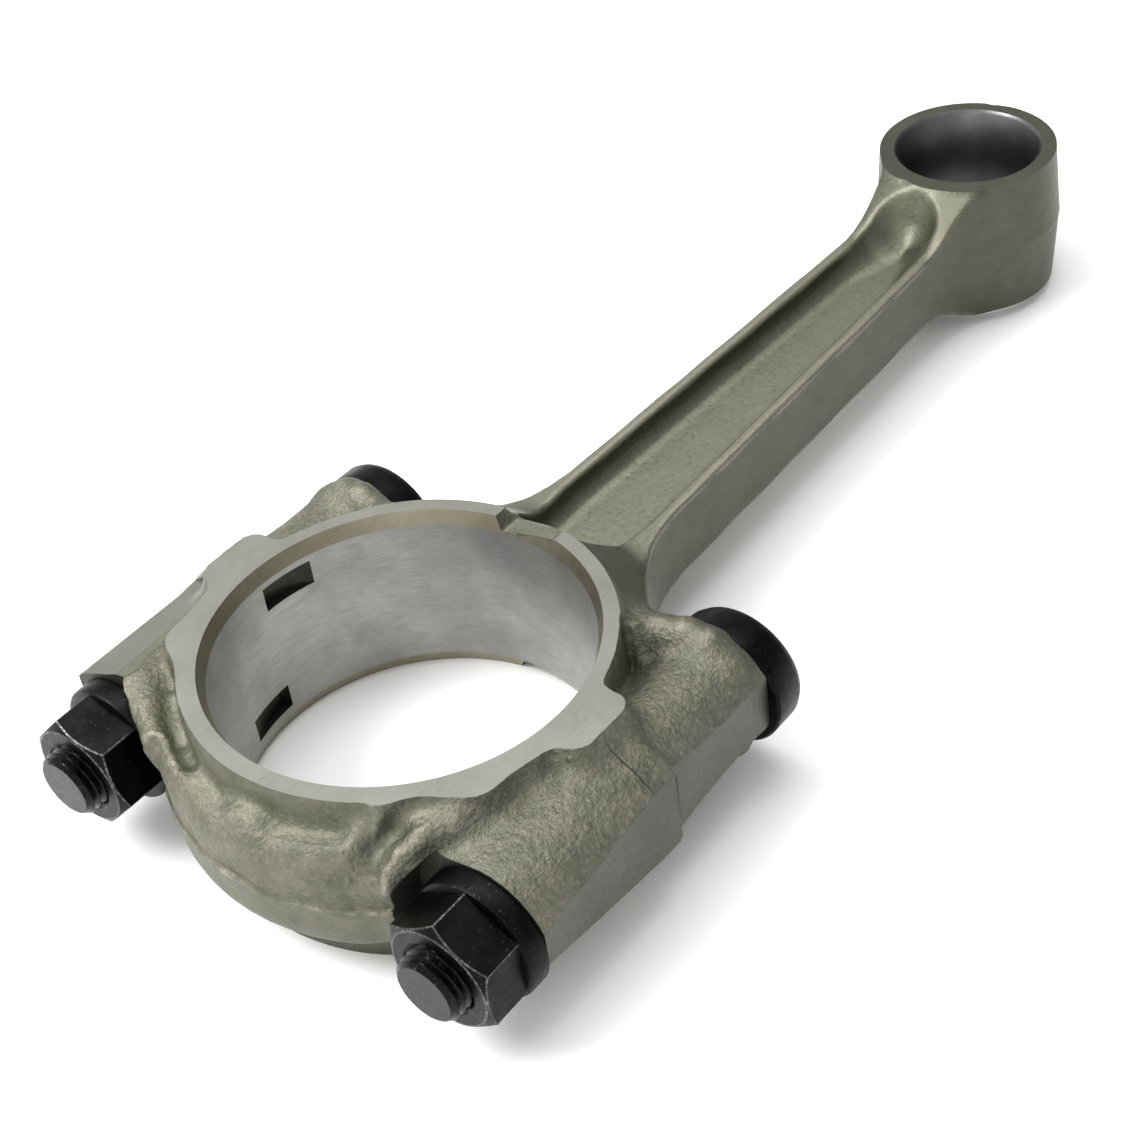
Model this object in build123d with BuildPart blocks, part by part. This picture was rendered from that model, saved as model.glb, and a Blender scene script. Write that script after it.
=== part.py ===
"""Connecting rod with a bolted big-end cap, for a small petrol engine.

Frame: the origin is the centre of the big-end bore at mid thickness, +X points to the small
end, +Z runs along both bores and +Y is the left side, where the bearing tang slots are.
Sizes are in millimetres.
"""
import os

from build123d import *

# Bores and faces
centre_distance = 136.5
big_bore_radius = 24.0
big_half_width = 13.1
mouth_chamfer_radial = 0.8
mouth_chamfer_axial = 2.0
small_bore_radius = 11.0
small_half_width = 11.2
small_bore_chamfer = 0.5

# Machined thrust ring of the big end, with a lobe on each side of the joint
ring_wall_rod = 2.7
ring_wall_cap = 3.3
lobe_overhang = 1.4
lobe_rod_length = 6.0
lobe_cap_length = 4.2
lobe_corner = 2.4
notch_half_chord = 5.0
notch_depth = 1.8

# Forged skirt of the rod, from beside the ring down to the shank
skirt_step = 0.9
skirt_foot_run = 8.3

# Forged band of the cap
band_wall = 8.0
band_half_height = 8.0
band_draft_run = 2.0

# Bolt bosses: cones about the bolt axes, flat on their outer sides
bolt_to_bore_wall = 1.0
head_seat_x = 24.0
nut_seat_x = -21.0
boss_root_radius = 10.3
boss_root_length = 4.0
boss_shoulder_radius = 9.4
boss_end_radius = 8.7
cap_flat_offset = 8.1
rod_flat_offset = 7.1
head_pocket_clearance = 0.6
nut_cutter_clearance = 2.1

# Shank
flange_half_height = 5.6
web_half_height = 2.0
shank_root_x = 40.0
shank_root_half_width = 9.3
shank_neck_x = 114.0
shank_neck_half_width = 7.4
flare_end_x = 24.5
flare_end_half_width = 20.0
flange_width_root = 2.1
flange_width_neck = 1.9
channel_wall_run = 2.6
channel_nose_radius = 5.6
channel_root_gap = 0.8
channel_neck_gap = 0.6
channel_floor_fillet = 1.5

# Small-end eye
eye_wall = 2.7
eye_draft_run = 0.9
eye_ramp_run = 9.5

# Bolts and nuts
thread_radius = 4.5
running_clearance = 0.05
head_radius = 8.7
head_height = 5.6
head_edge_fillet = 1.2
head_flat_depth = 1.1
bolt_projection = 2.5
bolt_waist_depth = 0.5
bolt_pilot_length = 9.0
thread_length = 20.0
bolt_tip_chamfer = 0.6
nut_across_flats = 14.0
nut_height = 9.2
nut_collar_height = 3.1
nut_collar_radius = 8.4
nut_corner_bevel = 0.8
nut_bevel_run = 0.5
nut_bore_chamfer = 0.5
nut_turn_left = 14.0
nut_turn_right = 30.0

# Bearing tang slots in the left wall of the bore
slot_width = 3.6
slot_depth = 1.6
slot_cutter_radius = 11.5
slot_rod_centre_z = 8.4
slot_cap_centre_z = -8.1

# How close a selected edge or face has to be to its nominal place
select_tolerance = 0.01

# Sizes worked out from those above
rod_ring_radius = big_bore_radius + ring_wall_rod
cap_ring_radius = big_bore_radius + ring_wall_cap
bolt_axis_offset = big_bore_radius + thread_radius + bolt_to_bore_wall
lobe_reach = bolt_axis_offset + lobe_overhang
skirt_half_height = big_half_width - skirt_step
eye_radius = small_bore_radius + eye_wall
bolt_hole_radius = thread_radius + running_clearance
nut_cutter_radius = nut_collar_radius + nut_cutter_clearance
head_cutter_radius = head_radius + head_pocket_clearance
head_flat_offset = head_radius - head_flat_depth
notch_radius = (notch_half_chord**2 + notch_depth**2) / (2 * notch_depth)
slot_cutter_y = big_bore_radius + slot_depth - slot_cutter_radius
channel_root_half_width = shank_root_half_width - flange_width_root
channel_neck_half_width = shank_neck_half_width - flange_width_neck
channel_nose_x = rod_ring_radius + channel_root_gap + channel_nose_radius
channel_neck_x = centre_distance - eye_radius - channel_neck_gap - channel_neck_half_width
bolt_tip_x = nut_seat_x - nut_height - bolt_projection
far = 2 * centre_distance


def bolt_plane(side, x):
    """Plane across a bolt axis at x, with its normal along +X."""
    return Plane(origin=(x, side * bolt_axis_offset, 0), x_dir=(0, 1, 0), z_dir=(1, 0, 0))


def add_thrust_ring(ring_radius, lobe_length, direction):
    """Machined ring and side lobes on one side of the joint, over the full width."""
    far_half = Align.MAX if direction > 0 else Align.MIN
    with BuildSketch(Plane.XY.offset(-big_half_width)) as ring:
        Circle(ring_radius)
        Rectangle(2 * lobe_length, 2 * lobe_reach)
        Rectangle(far, far, align=(far_half, Align.CENTER), mode=Mode.SUBTRACT)
        outer_corners = ring.vertices().filter_by(lambda v: abs(v.Y) > ring_radius)
        fillet(outer_corners.filter_by(lambda v: abs(v.X) > select_tolerance), lobe_corner)
    extrude(ring.sketch, amount=2 * big_half_width)


def add_boss(side, x_start, radius_start, x_end, radius_end):
    """Length of a bolt boss: a cone about the bolt axis."""
    with BuildSketch(bolt_plane(side, x_start)) as start:
        Circle(radius_start)
    with BuildSketch(bolt_plane(side, x_end)) as end:
        Circle(radius_end)
    loft([start.sketch, end.sketch])


def cut_big_bore():
    """Bearing bore with its mouth chamfers."""
    with BuildSketch(Plane.XZ) as bore:
        with BuildLine():
            mouth = big_bore_radius + mouth_chamfer_radial
            wall_top = big_half_width - mouth_chamfer_axial
            Polyline(
                (0, -big_half_width),
                (mouth, -big_half_width),
                (big_bore_radius, -wall_top),
                (big_bore_radius, wall_top),
                (mouth, big_half_width),
                (0, big_half_width),
                close=True,
            )
        make_face()
    revolve(bore.sketch, axis=Axis.Z, mode=Mode.SUBTRACT)


def cut_tang_slot(centre_z):
    """Slot for a bearing tang, cut by a round cutter into the left wall."""
    with BuildSketch(Plane.XY.offset(centre_z - slot_width / 2)) as slot:
        with Locations((0, slot_cutter_y)):
            Circle(slot_cutter_radius)
    extrude(slot.sketch, amount=slot_width, mode=Mode.SUBTRACT)


def cut_side_flat(side, offset, x_start, x_end):
    """Machined flat on the outer side of a boss."""
    with BuildSketch(Plane.XY.offset(-big_half_width)) as flat:
        with Locations(((x_start + x_end) / 2, side * (bolt_axis_offset + offset))):
            edge = Align.MIN if side > 0 else Align.MAX
            Rectangle(x_end - x_start, big_bore_radius, align=(Align.CENTER, edge))
    extrude(flat.sketch, amount=2 * big_half_width, mode=Mode.SUBTRACT)


def cut_along_bolt(side, radius, x_start, length):
    """Round cut about a bolt axis, from x_start along X."""
    with BuildSketch(bolt_plane(side, x_start)) as cutter:
        Circle(radius)
    extrude(cutter.sketch, amount=length, mode=Mode.SUBTRACT)


def channel_outline(inset):
    """Channel in plan: a hull from a narrow nose to a round end, inset on all sides."""
    for x, radius in (
        (channel_nose_x, channel_nose_radius),
        (shank_root_x, channel_root_half_width),
        (channel_neck_x, channel_neck_half_width),
    ):
        with Locations((x, 0)):
            Circle(radius - inset)
    make_hull()


# Height envelope of the forging: a cone round each bore and the flange height between
with BuildPart() as height_envelope:
    with BuildSketch(Plane.XY.offset(-flange_half_height)):
        with Locations((centre_distance / 2, 0)):
            Rectangle(far, far)
    extrude(amount=2 * flange_half_height)
    for centre_x, top_radius, top_z, run in (
        (0, rod_ring_radius, skirt_half_height, skirt_foot_run),
        (centre_distance, eye_radius, small_half_width, eye_ramp_run),
    ):
        for direction in (1, -1):
            with BuildSketch(Plane.XY.offset(direction * flange_half_height)):
                with Locations((centre_x, 0)):
                    Circle(top_radius + run)
            with BuildSketch(Plane.XY.offset(direction * top_z)):
                with Locations((centre_x, 0)):
                    Circle(top_radius)
            loft()

# Rod forging: shank, eye and upper half of the big end
with BuildPart() as connecting_rod:
    with BuildSketch(Plane.XY.offset(-big_half_width)):
        with BuildLine():
            root_left = (shank_root_x, shank_root_half_width)
            neck_left = (shank_neck_x, shank_neck_half_width)
            taper = (shank_neck_half_width - shank_root_half_width) / (shank_neck_x - shank_root_x)
            eye_touch = eye_radius * 2**-0.5
            Line(root_left, neck_left)
            big_flare = TangentArc(root_left, (flare_end_x, flare_end_half_width), tangent=(-1, -taper))
            eye_flare = TangentArc(neck_left, (centre_distance - eye_touch, eye_touch), tangent=(1, taper))
            Polyline(big_flare @ 1, (0, flare_end_half_width), (0, 0), (centre_distance, 0), eye_flare @ 1)
        make_face()
        mirror(about=Plane.XZ)
    extrude(amount=2 * big_half_width)
    add(height_envelope.part, mode=Mode.INTERSECT)
    with BuildSketch(Plane.XZ):
        with BuildLine():
            Polyline(
                (centre_distance, -small_half_width),
                (centre_distance + eye_radius, -small_half_width),
                (centre_distance + eye_radius + eye_draft_run, 0),
                (centre_distance + eye_radius, small_half_width),
                (centre_distance, small_half_width),
                close=True,
            )
        make_face()
    revolve(axis=Axis((centre_distance, 0, 0), (0, 0, 1)))
    add_thrust_ring(rod_ring_radius, lobe_rod_length, 1)
    for side in (1, -1):
        add_boss(side, 0, boss_root_radius, boss_root_length, boss_root_radius)
        add_boss(side, boss_root_length, boss_shoulder_radius, head_seat_x, boss_end_radius)
        cut_along_bolt(side, head_cutter_radius, head_seat_x, far)
        cut_along_bolt(side, bolt_hole_radius, 0, head_seat_x)
        cut_side_flat(side, cap_flat_offset, 0, boss_root_length)
        cut_side_flat(side, rod_flat_offset, boss_root_length, head_seat_x)
    for direction in (1, -1):
        with BuildSketch(Plane.XY.offset(direction * web_half_height)):
            channel_outline(channel_wall_run)
        with BuildSketch(Plane.XY.offset(direction * flange_half_height)):
            channel_outline(0)
        loft(mode=Mode.SUBTRACT)
        with BuildSketch(Plane.XY.offset(direction * flange_half_height)):
            channel_outline(0)
        extrude(amount=direction * (big_half_width - flange_half_height), mode=Mode.SUBTRACT)
        floor = connecting_rod.faces().filter_by(Axis.Z).filter_by_position(
            Axis.Z,
            direction * web_half_height - select_tolerance,
            direction * web_half_height + select_tolerance,
        )
        fillet(floor.edges(), channel_floor_fillet)
        notch_z = direction * (big_half_width - notch_depth + notch_radius)
        with BuildSketch(Plane.YZ):
            with Locations((0, notch_z)):
                Circle(notch_radius)
        extrude(amount=channel_nose_x, mode=Mode.SUBTRACT)
    cut_big_bore()
    cut_tang_slot(slot_rod_centre_z)
    with BuildSketch(Plane.XY.offset(-small_half_width)):
        with Locations((centre_distance, 0)):
            Circle(small_bore_radius)
    extrude(amount=2 * small_half_width, mode=Mode.SUBTRACT)
    mouths = connecting_rod.edges().filter_by(GeomType.CIRCLE)
    pin_mouths = mouths.filter_by(lambda e: abs(e.radius - small_bore_radius) < select_tolerance)
    chamfer(pin_mouths, small_bore_chamfer)
    split(bisect_by=Plane.YZ, keep=Keep.TOP)
connecting_rod.part.label = "connecting_rod"

# Cap forging: lower half of the big end
with BuildPart() as rod_cap:
    with BuildSketch(Plane.XZ):
        with BuildLine():
            band_radius = big_bore_radius + band_wall
            Polyline(
                (0, -band_half_height),
                (band_radius - band_draft_run, -band_half_height),
                (band_radius, 0),
                (band_radius - band_draft_run, band_half_height),
                (0, band_half_height),
                close=True,
            )
        make_face()
    revolve(axis=Axis.Z)
    add_thrust_ring(cap_ring_radius, lobe_cap_length, -1)
    for side in (1, -1):
        add_boss(side, nut_seat_x, boss_end_radius, 0, boss_root_radius)
        cut_along_bolt(side, nut_cutter_radius, nut_seat_x, -far)
        cut_along_bolt(side, bolt_hole_radius, nut_seat_x, -nut_seat_x)
        cut_side_flat(side, cap_flat_offset, nut_seat_x, 0)
    cut_big_bore()
    cut_tang_slot(slot_cap_centre_z)
    split(bisect_by=Plane.YZ, keep=Keep.BOTTOM)
rod_cap.part.label = "rod_cap"


def make_bolt(side):
    """Big-end bolt: round head with one flat, waisted shank, pilot at the joint."""
    with BuildPart() as bolt:
        waist_radius = thread_radius - bolt_waist_depth
        thread_end_x = bolt_tip_x + thread_length
        pilot_x = bolt_pilot_length / 2
        head_top_x = head_seat_x + head_height
        outline = (
            (bolt_tip_x, 0),
            (bolt_tip_x, thread_radius - bolt_tip_chamfer),
            (bolt_tip_x + bolt_tip_chamfer, thread_radius),
            (thread_end_x, thread_radius),
            (thread_end_x + bolt_waist_depth, waist_radius),
            (-pilot_x - bolt_waist_depth, waist_radius),
            (-pilot_x, thread_radius),
            (pilot_x, thread_radius),
            (pilot_x + bolt_waist_depth, waist_radius),
            (head_seat_x - thread_radius, waist_radius),
            (head_seat_x - thread_radius + bolt_waist_depth, thread_radius),
            (head_seat_x, thread_radius),
            (head_seat_x, head_radius),
            (head_top_x, head_radius),
            (head_top_x, 0),
        )
        with BuildSketch() as profile:
            with BuildLine():
                Polyline(*[(x, side * (bolt_axis_offset + radius)) for x, radius in outline], close=True)
            make_face()
        revolve(profile.sketch, axis=Axis((0, side * bolt_axis_offset, 0), (1, 0, 0)))
        with BuildSketch(Plane.XY.offset(-head_radius)) as flat:
            with Locations((head_seat_x + head_height / 2, side * (bolt_axis_offset - head_flat_offset))):
                edge = Align.MAX if side > 0 else Align.MIN
                Rectangle(head_height, head_radius, align=(Align.CENTER, edge))
        extrude(flat.sketch, amount=2 * head_radius, mode=Mode.SUBTRACT)
        fillet(bolt.faces().sort_by(Axis.X)[-1].edges(), head_edge_fillet)
    return bolt.part


def make_nut(side, turn):
    """Hexagon nut with a round collar, seated on the cap."""
    with BuildPart() as nut:
        nut_top_x = nut_seat_x - nut_height
        collar_top_x = nut_seat_x - nut_collar_height
        with BuildSketch(bolt_plane(side, collar_top_x)) as hexagon:
            RegularPolygon(nut_across_flats / 2, 6, major_radius=False, rotation=turn)
        extrude(hexagon.sketch, amount=nut_top_x - collar_top_x)
        corner_radius = nut_across_flats / 3**0.5
        clear_radius = corner_radius + nut_corner_bevel
        bevel = (
            (nut_seat_x, 0),
            (nut_seat_x, clear_radius),
            (nut_top_x + nut_bevel_run, clear_radius),
            (nut_top_x + nut_bevel_run, corner_radius),
            (nut_top_x, corner_radius - nut_corner_bevel),
            (nut_top_x, 0),
        )
        with BuildSketch() as envelope:
            with BuildLine():
                Polyline(*[(x, side * (bolt_axis_offset + radius)) for x, radius in bevel], close=True)
            make_face()
        revolve(envelope.sketch, axis=Axis((0, side * bolt_axis_offset, 0), (1, 0, 0)), mode=Mode.INTERSECT)
        with BuildSketch(bolt_plane(side, nut_seat_x)) as collar:
            Circle(nut_collar_radius)
        extrude(collar.sketch, amount=-nut_collar_height)
        with BuildSketch(bolt_plane(side, nut_seat_x)) as bore:
            Circle(bolt_hole_radius)
        extrude(bore.sketch, amount=-nut_height, mode=Mode.SUBTRACT)
        chamfer(nut.faces().sort_by(Axis.X)[0].edges().sort_by(Edge.length)[0], nut_bore_chamfer)
    return nut.part


pieces = {"connecting_rod": connecting_rod.part, "rod_cap": rod_cap.part}
for name, side, turn in (("left", 1, nut_turn_left), ("right", -1, nut_turn_right)):
    pieces[f"bolt_{name}"] = make_bolt(side)
    pieces[f"nut_{name}"] = make_nut(side, turn)

os.makedirs("parts", exist_ok=True)
for node, piece in pieces.items():
    piece.label = node
    export_step(piece, f"parts/{node}.step")
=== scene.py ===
"""Looks of the connecting rod: forged skins cut by machined faces, detailed bolts and nuts.

Lengths are in millimetres until a mesh is made, where they become metres. Lights and the
camera are placed in metres.
"""

import math

import bmesh
import bpy
import numpy as np
import openvdb
from mathutils import Matrix, Vector


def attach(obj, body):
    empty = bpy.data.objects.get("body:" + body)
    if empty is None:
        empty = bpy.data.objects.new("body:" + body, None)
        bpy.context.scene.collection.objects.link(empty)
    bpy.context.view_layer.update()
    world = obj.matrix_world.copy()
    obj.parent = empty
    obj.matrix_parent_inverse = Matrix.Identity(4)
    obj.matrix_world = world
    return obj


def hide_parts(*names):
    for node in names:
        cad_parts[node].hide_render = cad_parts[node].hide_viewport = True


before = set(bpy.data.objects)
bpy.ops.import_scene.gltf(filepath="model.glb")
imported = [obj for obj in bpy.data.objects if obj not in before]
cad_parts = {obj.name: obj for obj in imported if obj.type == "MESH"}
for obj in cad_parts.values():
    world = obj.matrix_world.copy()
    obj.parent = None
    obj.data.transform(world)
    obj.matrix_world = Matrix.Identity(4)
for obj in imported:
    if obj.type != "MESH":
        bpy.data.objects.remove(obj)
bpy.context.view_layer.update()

MM = 0.001
AXIS_X, AXIS_Z = 0, 2

# ring around the crank bore, and eye around the pin bore
CENTRES = 136.5
BORE_R = 24.0
RING_R = 26.7
RING_Z = 13.1
RAW_Z = 14.2  # half height of the ring before its faces are ground
EYE_BORE_R = 11.0
EYE_Z = 11.2

# bolts and nuts, with their seats on the forgings
BOLT_Y = 29.5
HEAD_SEAT = 24.0
HEAD_TOP = 29.6
HEAD_R = 8.7
HOLE_R = 4.55
THREAD_R = 4.5
WAIST_R = 4.0
NUT_SEAT = -21.0
NUT_TOP = NUT_SEAT - 9.2
COLLAR_TOP = NUT_SEAT - 3.1
COLLAR_R = 8.4
ACROSS_FLATS = 14.0
BOLT_TIP = NUT_TOP - 2.5
PITCH = 1.0
THREAD_DEPTH = 0.55

# shank: half widths of its outline and of its channel at stations along x
SHANK_X = (
    20.0, 24.5, 28.0, 31.0, 33.6, 36.8, 40.0, 44.0, 60.0, 80.0, 96.0, 112.0, 118.0, 122.0, 126.8, 132.0)
SHANK_W = (
    22.5, 19.6, 16.6, 14.2, 12.3, 10.6, 9.75, 9.25, 8.8, 8.25, 7.95, 7.45, 7.7, 8.3, 9.75, 11.5)
CHANNEL_X = (20.0, 28.0, 32.0, 36.0, 41.0, 62.0, 80.0, 104.0, 116.6)
CHANNEL_W = (6.0, 6.1, 6.5, 7.0, 7.25, 6.75, 6.3, 5.6, 5.35)
CHANNEL_START = 27.5
CHANNEL_END = CHANNEL_X[-1]
FLANGE_Z = 5.6
WEB_Z = 1.95

# how far cutters reach from the ring's centre, sideways and up
FAR = 60
HIGH = 30


# ---------------------------------------------------------------- numeric helpers
def smin(a, b, k):
    """Union of two fields with a fillet of about k."""
    h = np.maximum(k - np.abs(a - b), 0.0) / k
    return np.minimum(a, b) - h * h * k * 0.25


def smax(a, b, k):
    """Intersection of two fields with a rounded edge of about k."""
    return -smin(-a, -b, k)


def ramp(x, lo, hi):
    """Smooth step from 0 at lo to 1 at hi."""
    t = np.clip((x - lo) / (hi - lo), 0.0, 1.0)
    return t * t * (3.0 - 2.0 * t)


def rounded(qa, qb, radius):
    """Corner of this radius between two faces, with qa and qb measured from its centre."""
    outside = np.sqrt(np.maximum(qa, 0) ** 2 + np.maximum(qb, 0) ** 2)
    return outside + np.minimum(np.maximum(qa, qb), 0) - radius


def capsule_chain(x, y, z, points, radii):
    """Distance to a chain of round-ended bars that blend where they meet."""
    blend = 1.0
    best = None
    for (p, q), (rp, rq) in zip(zip(points, points[1:]), zip(radii, radii[1:])):
        d = [b - a for a, b in zip(p, q)]
        length2 = sum(c * c for c in d)
        t = np.clip(((x - p[0]) * d[0] + (y - p[1]) * d[1] + (z - p[2]) * d[2]) / length2, 0.0, 1.0)
        gap = np.sqrt(
            (x - p[0] - t * d[0]) ** 2 + (y - p[1] - t * d[1]) ** 2 + (z - p[2] - t * d[2]) ** 2
        ) - (rp + (rq - rp) * t)
        best = gap if best is None else smin(best, gap, blend)
    return best


def ball(x, y, z, centre, radii):
    """Rough distance to an ellipsoid."""
    q = np.sqrt(sum(((c - m) / r) ** 2 for c, m, r in zip((x, y, z), centre, radii)))
    return (q - 1.0) * min(radii)


def lattice(ix, iy, iz, seed):
    """Seeded value in -1..1 for each point of a whole-number grid."""
    h = (ix * 374761393 + iy * 668265263 + iz * 1440670441 + seed * 974634777) & 0xFFFFFFFF
    h = ((h ^ (h >> 13)) * 1274126177) & 0xFFFFFFFF
    h = ((h ^ (h >> 16)) * 2246822519) & 0xFFFFFFFF
    return ((h ^ (h >> 15)) & 0xFFFFFF) / float(0x7FFFFF) - 1.0


def noise(points, cell, seed):
    """Smooth seeded noise in -1..1 at points, with features about twice the cell."""
    p = points / cell
    base = np.floor(p).astype(np.int64)
    f = p - base
    w = f * f * (3.0 - 2.0 * f)
    out = 0.0
    for corner in range(8):
        o = [(corner >> k) & 1 for k in range(3)]
        weight = 1.0
        for k in range(3):
            weight = weight * (w[..., k] if o[k] else 1.0 - w[..., k])
        out = out + weight * lattice(base[..., 0] + o[0], base[..., 1] + o[1], base[..., 2] + o[2], seed)
    return out


# ---------------------------------------------------------------- mesh helpers
def new_object(name, verts, faces, material, smooth=True):
    """Mesh object from vertices in millimetres and a list or array of faces."""
    mesh = bpy.data.meshes.new(name)
    verts = np.asarray(verts, dtype=np.float64) * MM
    if isinstance(faces, np.ndarray):
        count, corners = faces.shape
        mesh.vertices.add(len(verts))
        mesh.vertices.foreach_set("co", verts.ravel())
        mesh.loops.add(count * corners)
        mesh.loops.foreach_set("vertex_index", faces.astype(np.int32).ravel())
        mesh.polygons.add(count)
        mesh.polygons.foreach_set("loop_start", np.arange(0, count * corners, corners, dtype=np.int32))
        mesh.update(calc_edges=True)
    else:
        mesh.from_pydata([tuple(v) for v in verts], [], faces)
        mesh.update()
    mesh.validate()
    mesh.materials.append(material)
    mesh.polygons.foreach_set("use_smooth", np.full(len(mesh.polygons), smooth))
    obj = bpy.data.objects.new(name, mesh)
    bpy.context.scene.collection.objects.link(obj)
    return obj


def around(quads, values):
    """Mean of the neighbouring vertices' values at each vertex."""
    total = np.zeros_like(values)
    count = np.zeros(len(values))
    for corner in range(4):
        for other in ((corner + 1) % 4, (corner + 3) % 4):
            count += np.bincount(quads[:, corner], minlength=len(values))
            for k in range(values.shape[1]):
                total[:, k] += np.bincount(quads[:, corner], values[quads[:, other], k], len(values))
    return total / np.maximum(count, 1.0)[:, None]


def zero_surface(field, lo, hi, step):
    """Points, quads that face outwards, and vertex normals of the zero surface of a field."""
    axes = []
    for k in range(3):
        shape = [1, 1, 1]
        shape[k] = -1
        axes.append(np.arange(lo[k], hi[k] + step, step, dtype=np.float32).reshape(shape))
    values = field(*axes).astype(np.float32)
    grid = openvdb.FloatGrid(background=10.0)
    grid.copyFromArray(np.ascontiguousarray(values))
    grid.transform = openvdb.createLinearTransform(voxelSize=step)
    points, quads = grid.convertToQuads(isovalue=0.0)
    points = points.astype(np.float64) + np.array(lo)
    quads = quads.astype(np.int64)
    a, b, c, d = (points[quads[:, k]] for k in range(4))
    face_normal = np.cross(c - a, d - b)
    if np.einsum("ij,ij->i", (a + c) / 2, face_normal).sum() < 0:
        quads = quads[:, ::-1]
        face_normal = -face_normal
    normal = np.zeros_like(points)
    for k in range(3):
        for corner in range(4):
            normal[:, k] += np.bincount(quads[:, corner], face_normal[:, k], len(points))
    normal /= np.maximum(np.linalg.norm(normal, axis=1), 1e-9)[:, None]
    return points, quads, normal


def skin(name, field, lo, hi, step, relief, material):
    """Mesh of the zero surface of a field, pushed out along its normals by relief.

    Each vertex keeps how coarse the skin is, how much it stands out from its neighbours and how
    level it lies, which the forged material reads.
    """
    points, quads, normal = zero_surface(field, lo, hi, step)
    height, coarse = relief(points)
    points = points + normal * height[:, None]
    edge = np.einsum("ij,ij->i", normal, points - around(quads, points)) / step
    for _ in range(2):
        edge = around(quads, edge[:, None])[:, 0]
    obj = new_object(name, points, quads, material)
    for label, value in (("coarse", coarse), ("edge", edge), ("level", np.abs(normal[:, 2]))):
        obj.data.attributes.new(label, "FLOAT", "POINT").data.foreach_set("value", value.astype(np.float32))
    return obj


def bridge(low, high):
    """Faces between two rings of vertices, or between a ring and a lone end point."""
    count = max(len(low), len(high))
    faces = []
    for s in range(count):
        e = (s + 1) % count
        if len(low) == 1:
            faces.append((low[0], high[e], high[s]))
        elif len(high) == 1:
            faces.append((low[s], low[e], high[0]))
        else:
            faces.append((low[s], low[e], high[e], high[s]))
    return faces


def lathe(name, profile, origin, axis, material, segments=256):
    """Closed turned body: profile is (along, radius) pairs from one end to the other."""
    verts, faces, rows = [], [], []
    n, u, v = ((1, 0, 0), (0, 1, 0), (0, 0, 1)) if axis == AXIS_X else ((0, 0, 1), (1, 0, 0), (0, 1, 0))
    for along, radius in profile:
        turns = range(segments) if radius > 0 else range(1)
        rows.append([len(verts) + s for s in turns])
        for s in turns:
            t = 2 * math.pi * s / segments
            verts.append(tuple(
                origin[k] + n[k] * along + radius * (math.cos(t) * u[k] + math.sin(t) * v[k])
                for k in range(3)
            ))
    for low, high in zip(rows, rows[1:]):
        faces += bridge(low, high)
    return new_object(name, verts, faces, material)


def block(name, lo, hi, material):
    """Box used only as a cutter."""
    verts = [(x, y, z) for x in (lo[0], hi[0]) for y in (lo[1], hi[1]) for z in (lo[2], hi[2])]
    faces = [(0, 1, 3, 2), (4, 6, 7, 5), (0, 4, 5, 1), (2, 3, 7, 6), (0, 2, 6, 4), (1, 5, 7, 3)]
    return new_object(name, verts, faces, material, smooth=False)


def outward(obj):
    """Face normals of a closed mesh turned outwards."""
    bm = bmesh.new()
    bm.from_mesh(obj.data)
    bmesh.ops.recalc_face_normals(bm, faces=bm.faces)
    bm.to_mesh(obj.data)
    bm.free()


def apply(obj, modifier):
    """Make a modifier's result the object's own mesh."""
    bpy.context.view_layer.objects.active = obj
    bpy.ops.object.modifier_apply(modifier=modifier.name)


def combine(obj, tool, operation="DIFFERENCE"):
    """Boolean of obj with tool. Cut faces take the tool's material."""
    outward(tool)
    modifier = obj.modifiers.new("combine", "BOOLEAN")
    modifier.operation = operation
    modifier.solver = "MANIFOLD"
    modifier.material_mode = "TRANSFER"
    modifier.object = tool
    apply(obj, modifier)
    bpy.data.objects.remove(tool)


def drill(obj, name, lo, hi, radius, origin, axis, material, segments):
    """Round hole or spot face, from lo to hi along the axis through origin."""
    profile = [(lo, 0), (lo, radius), (hi, radius), (hi, 0)]
    combine(obj, lathe(name, profile, origin, axis, material, segments))


def grind(obj, name, lo, hi, height, material):
    """Level faces above and below, over the rectangle from lo to hi."""
    combine(obj, block(name + "_top", (*lo, height), (*hi, HIGH), material))
    combine(obj, block(name + "_bottom", (*lo, -HIGH), (*hi, -height), material))


def side_cut(obj, name, x_lo, x_hi, side, near, far, material):
    """Upright flat on one side, which takes all between y distances near and far."""
    half_height = 14
    y_lo, y_hi = sorted((side * near, side * far))
    combine(obj, block(name, (x_lo, y_lo, -half_height), (x_hi, y_hi, half_height), material))


def crease(obj, degrees):
    """Sharp edges where the surface turns by more than this, or by less where materials meet."""
    seam = math.radians(9)
    limit = math.radians(degrees)
    bm = bmesh.new()
    bm.from_mesh(obj.data)
    for edge in bm.edges:
        if len(edge.link_faces) != 2:
            edge.smooth = False
            continue
        first, second = edge.link_faces
        turned = first.normal.angle(second.normal, 0.0)
        same = first.material_index == second.material_index
        edge.smooth = turned < (limit if same else seam)
    for face in bm.faces:
        face.smooth = True
    bm.to_mesh(obj.data)
    bm.free()


def bevel(obj, width, degrees, material=-1):
    """Round the edges that turn by more than this. Material -1 keeps the faces' own."""
    modifier = obj.modifiers.new("bevel", "BEVEL")
    modifier.width = width * MM
    modifier.segments = 2
    modifier.limit_method = "ANGLE"
    modifier.angle_limit = math.radians(degrees)
    modifier.material = material
    modifier.harden_normals = False
    apply(obj, modifier)


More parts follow.
